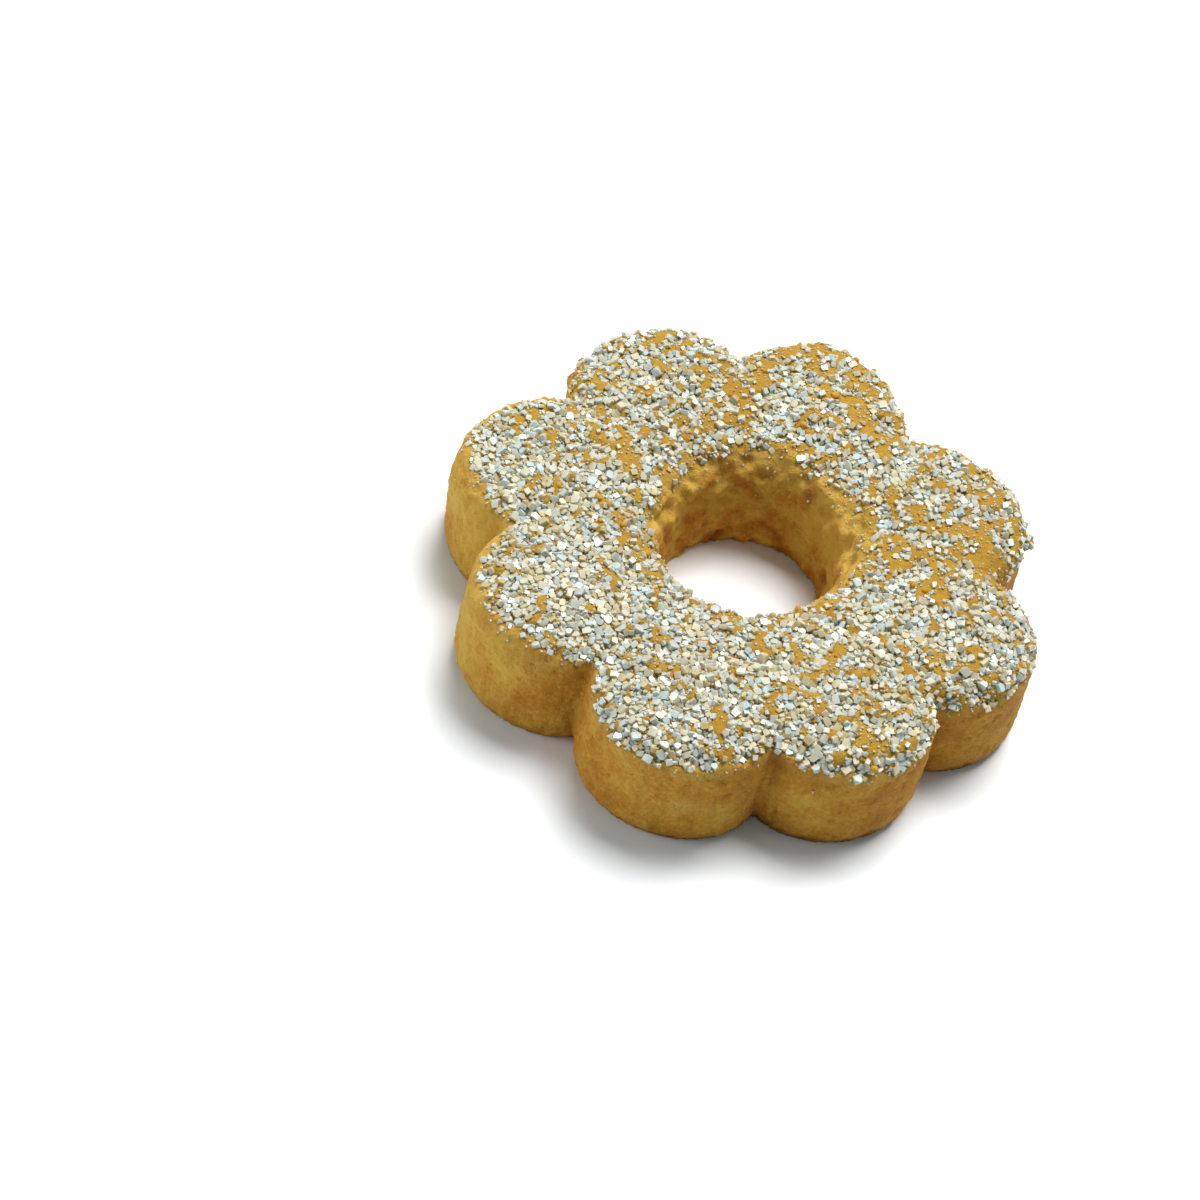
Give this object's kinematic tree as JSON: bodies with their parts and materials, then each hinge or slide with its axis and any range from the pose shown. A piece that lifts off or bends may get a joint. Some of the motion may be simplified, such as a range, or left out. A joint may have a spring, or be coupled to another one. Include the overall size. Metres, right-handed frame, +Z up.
{
  "type": "canestrelli cookie",
  "caption": "Flower-shaped shortbread ring biscuit with uneven rounded petals, a round hole through the middle and coarse sugar over its top.",
  "frame": {"origin": "middle of the outline's box, on the flat underside", "axes": "+Z up out of the sugared top; +X and +Y across the flower, with one petal a little above -X"},
  "size_m": [0.0606, 0.0598, 0.0128],
  "materials": {
    "baked_dough": "golden-brown baked shortbread, dull and finely pitted, browner on the walls and low down, paler on the shoulders",
    "sugar": "coarse white sugar crystals, partly clear and glossy, thick over the top with bare patches of dough between"
  },
  "bodies": {
    "root": {"biscuit": "baked_dough"}
  },
  "joints": []
}
